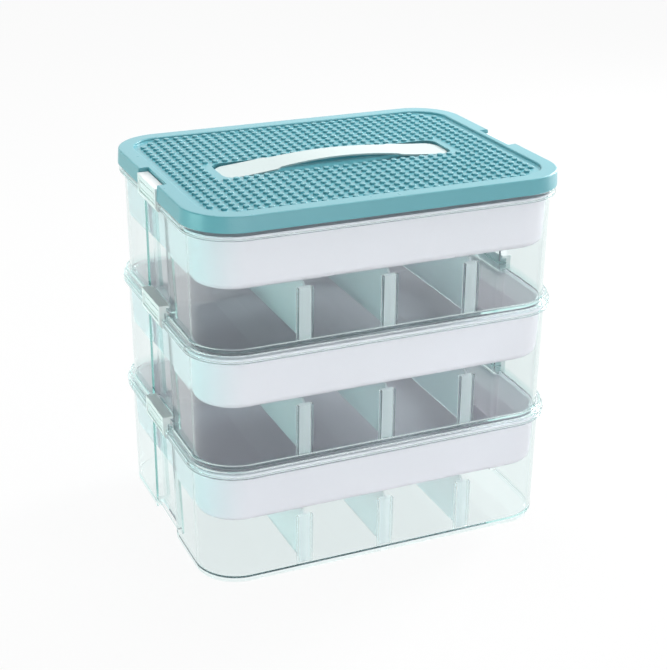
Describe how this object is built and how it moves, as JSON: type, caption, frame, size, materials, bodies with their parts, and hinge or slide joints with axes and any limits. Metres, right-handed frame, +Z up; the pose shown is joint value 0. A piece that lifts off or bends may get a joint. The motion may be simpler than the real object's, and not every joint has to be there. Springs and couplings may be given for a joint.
{
  "type": "storage box",
  "caption": "Stacking storage case for small blocks: studded lid with a recessed carrying strap over clear latched tubs, each with a lift-out tray above divided compartments.",
  "frame": {"origin": "centre of the footprint, on the surface the case stands on", "axes": "+X along the case's length towards the right latches, +Y towards the back, +Z up"},
  "size_m": [0.3, 0.2266, 0.2908],
  "materials": {
    "lid": "satin teal polypropylene",
    "handle": "white, soft sheen",
    "latch": "white, soft sheen",
    "tray": "opaque cool white",
    "tub": "clear with a slight aqua tint",
    "divider": "frosted translucent"
  },
  "bodies": {
    "lid": {"lid": "lid"},
    "handle": {"handle": "handle"},
    "tub_1": {"tub_1": "tub"},
    "tray_1": {"tray_1": "tray"},
    "divider_1_1": {"divider_1_1": "divider"},
    "divider_1_2": {"divider_1_2": "divider"},
    "divider_1_3": {"divider_1_3": "divider"},
    "latch_left_1": {"latch_left_1": "latch"},
    "latch_right_1": {"latch_right_1": "latch"},
    "tub_2": {"tub_2": "tub"},
    "tray_2": {"tray_2": "tray"},
    "divider_2_1": {"divider_2_1": "divider"},
    "divider_2_2": {"divider_2_2": "divider"},
    "divider_2_3": {"divider_2_3": "divider"},
    "latch_left_2": {"latch_left_2": "latch"},
    "latch_right_2": {"latch_right_2": "latch"},
    "tub_3": {"tub_3": "tub"},
    "tray_3": {"tray_3": "tray"},
    "divider_3_1": {"divider_3_1": "divider"},
    "divider_3_2": {"divider_3_2": "divider"},
    "divider_3_3": {"divider_3_3": "divider"},
    "latch_left_3": {"latch_left_3": "latch"},
    "latch_right_3": {"latch_right_3": "latch"}
  },
  "joints": [
    {"name": "tier_2_lift", "type": "slide", "parent": "tub_3", "child": "tub_2", "axis": [0, 0, 1], "range_m": [0, 0.05]},
    {"name": "tier_1_lift", "type": "slide", "parent": "tub_2", "child": "tub_1", "axis": [0, 0, 1], "range_m": [0, 0.05]},
    {"name": "lid_lift", "type": "slide", "parent": "tub_1", "child": "lid", "axis": [0, 0, 1], "range_m": [0, 0.05]},
    {"name": "handle_lift", "type": "slide", "parent": "lid", "child": "handle", "axis": [0, 0, 1], "range_m": [0, 0.0097]},
    {"name": "latch_right_1_swing", "type": "hinge", "parent": "tub_1", "child": "latch_right_1", "pos_m": [0.14665, 0, 0.2746], "axis": [0, 1, 0], "range_deg": [0, 160.5]},
    {"name": "latch_left_1_swing", "type": "hinge", "parent": "tub_1", "child": "latch_left_1", "pos_m": [-0.14665, 0, 0.2746], "axis": [0, -1, 0], "range_deg": [0, 160.5]},
    {"name": "tray_1_lift", "type": "slide", "parent": "tub_1", "child": "tray_1", "axis": [0, 0, 1], "range_m": [0, 0.0326]},
    {"name": "divider_1_1_lift", "type": "slide", "parent": "tub_1", "child": "divider_1_1", "axis": [0, 0, 1], "range_m": [0, 0.0126]},
    {"name": "divider_1_2_lift", "type": "slide", "parent": "tub_1", "child": "divider_1_2", "axis": [0, 0, 1], "range_m": [0, 0.0126]},
    {"name": "divider_1_3_lift", "type": "slide", "parent": "tub_1", "child": "divider_1_3", "axis": [0, 0, 1], "range_m": [0, 0.0126]},
    {"name": "latch_right_2_swing", "type": "hinge", "parent": "tub_2", "child": "latch_right_2", "pos_m": [0.14665, 0, 0.1831], "axis": [0, 1, 0], "range_deg": [0, 160.5]},
    {"name": "latch_left_2_swing", "type": "hinge", "parent": "tub_2", "child": "latch_left_2", "pos_m": [-0.14665, 0, 0.1831], "axis": [0, -1, 0], "range_deg": [0, 160.5]},
    {"name": "tray_2_lift", "type": "slide", "parent": "tub_2", "child": "tray_2", "axis": [0, 0, 1], "range_m": [0, 0.0326]},
    {"name": "divider_2_1_lift", "type": "slide", "parent": "tub_2", "child": "divider_2_1", "axis": [0, 0, 1], "range_m": [0, 0.0126]},
    {"name": "divider_2_2_lift", "type": "slide", "parent": "tub_2", "child": "divider_2_2", "axis": [0, 0, 1], "range_m": [0, 0.0126]},
    {"name": "divider_2_3_lift", "type": "slide", "parent": "tub_2", "child": "divider_2_3", "axis": [0, 0, 1], "range_m": [0, 0.0126]},
    {"name": "latch_right_3_swing", "type": "hinge", "parent": "tub_3", "child": "latch_right_3", "pos_m": [0.14665, 0, 0.0916], "axis": [0, 1, 0], "range_deg": [0, 160.5]},
    {"name": "latch_left_3_swing", "type": "hinge", "parent": "tub_3", "child": "latch_left_3", "pos_m": [-0.14665, 0, 0.0916], "axis": [0, -1, 0], "range_deg": [0, 160.5]},
    {"name": "tray_3_lift", "type": "slide", "parent": "tub_3", "child": "tray_3", "axis": [0, 0, 1], "range_m": [0, 0.0326]},
    {"name": "divider_3_1_lift", "type": "slide", "parent": "tub_3", "child": "divider_3_1", "axis": [0, 0, 1], "range_m": [0, 0.0126]},
    {"name": "divider_3_2_lift", "type": "slide", "parent": "tub_3", "child": "divider_3_2", "axis": [0, 0, 1], "range_m": [0, 0.0126]},
    {"name": "divider_3_3_lift", "type": "slide", "parent": "tub_3", "child": "divider_3_3", "axis": [0, 0, 1], "range_m": [0, 0.0126]}
  ],
  "couplings": [
    {"joint": "latch_right_1_swing", "follows": "lid_lift", "rad_per_m": 55.85},
    {"joint": "latch_left_1_swing", "follows": "lid_lift", "rad_per_m": 55.85},
    {"joint": "tray_1_lift", "follows": "lid_lift", "ratio": 0.65},
    {"joint": "divider_1_1_lift", "follows": "lid_lift", "ratio": 0.25},
    {"joint": "divider_1_2_lift", "follows": "lid_lift", "ratio": 0.25},
    {"joint": "divider_1_3_lift", "follows": "lid_lift", "ratio": 0.25},
    {"joint": "latch_right_2_swing", "follows": "tier_1_lift", "rad_per_m": 55.85},
    {"joint": "latch_left_2_swing", "follows": "tier_1_lift", "rad_per_m": 55.85},
    {"joint": "tray_2_lift", "follows": "tier_1_lift", "ratio": 0.65},
    {"joint": "divider_2_1_lift", "follows": "tier_1_lift", "ratio": 0.25},
    {"joint": "divider_2_2_lift", "follows": "tier_1_lift", "ratio": 0.25},
    {"joint": "divider_2_3_lift", "follows": "tier_1_lift", "ratio": 0.25},
    {"joint": "latch_right_3_swing", "follows": "tier_2_lift", "rad_per_m": 55.85},
    {"joint": "latch_left_3_swing", "follows": "tier_2_lift", "rad_per_m": 55.85},
    {"joint": "tray_3_lift", "follows": "tier_2_lift", "ratio": 0.65},
    {"joint": "divider_3_1_lift", "follows": "tier_2_lift", "ratio": 0.25},
    {"joint": "divider_3_2_lift", "follows": "tier_2_lift", "ratio": 0.25},
    {"joint": "divider_3_3_lift", "follows": "tier_2_lift", "ratio": 0.25}
  ]
}
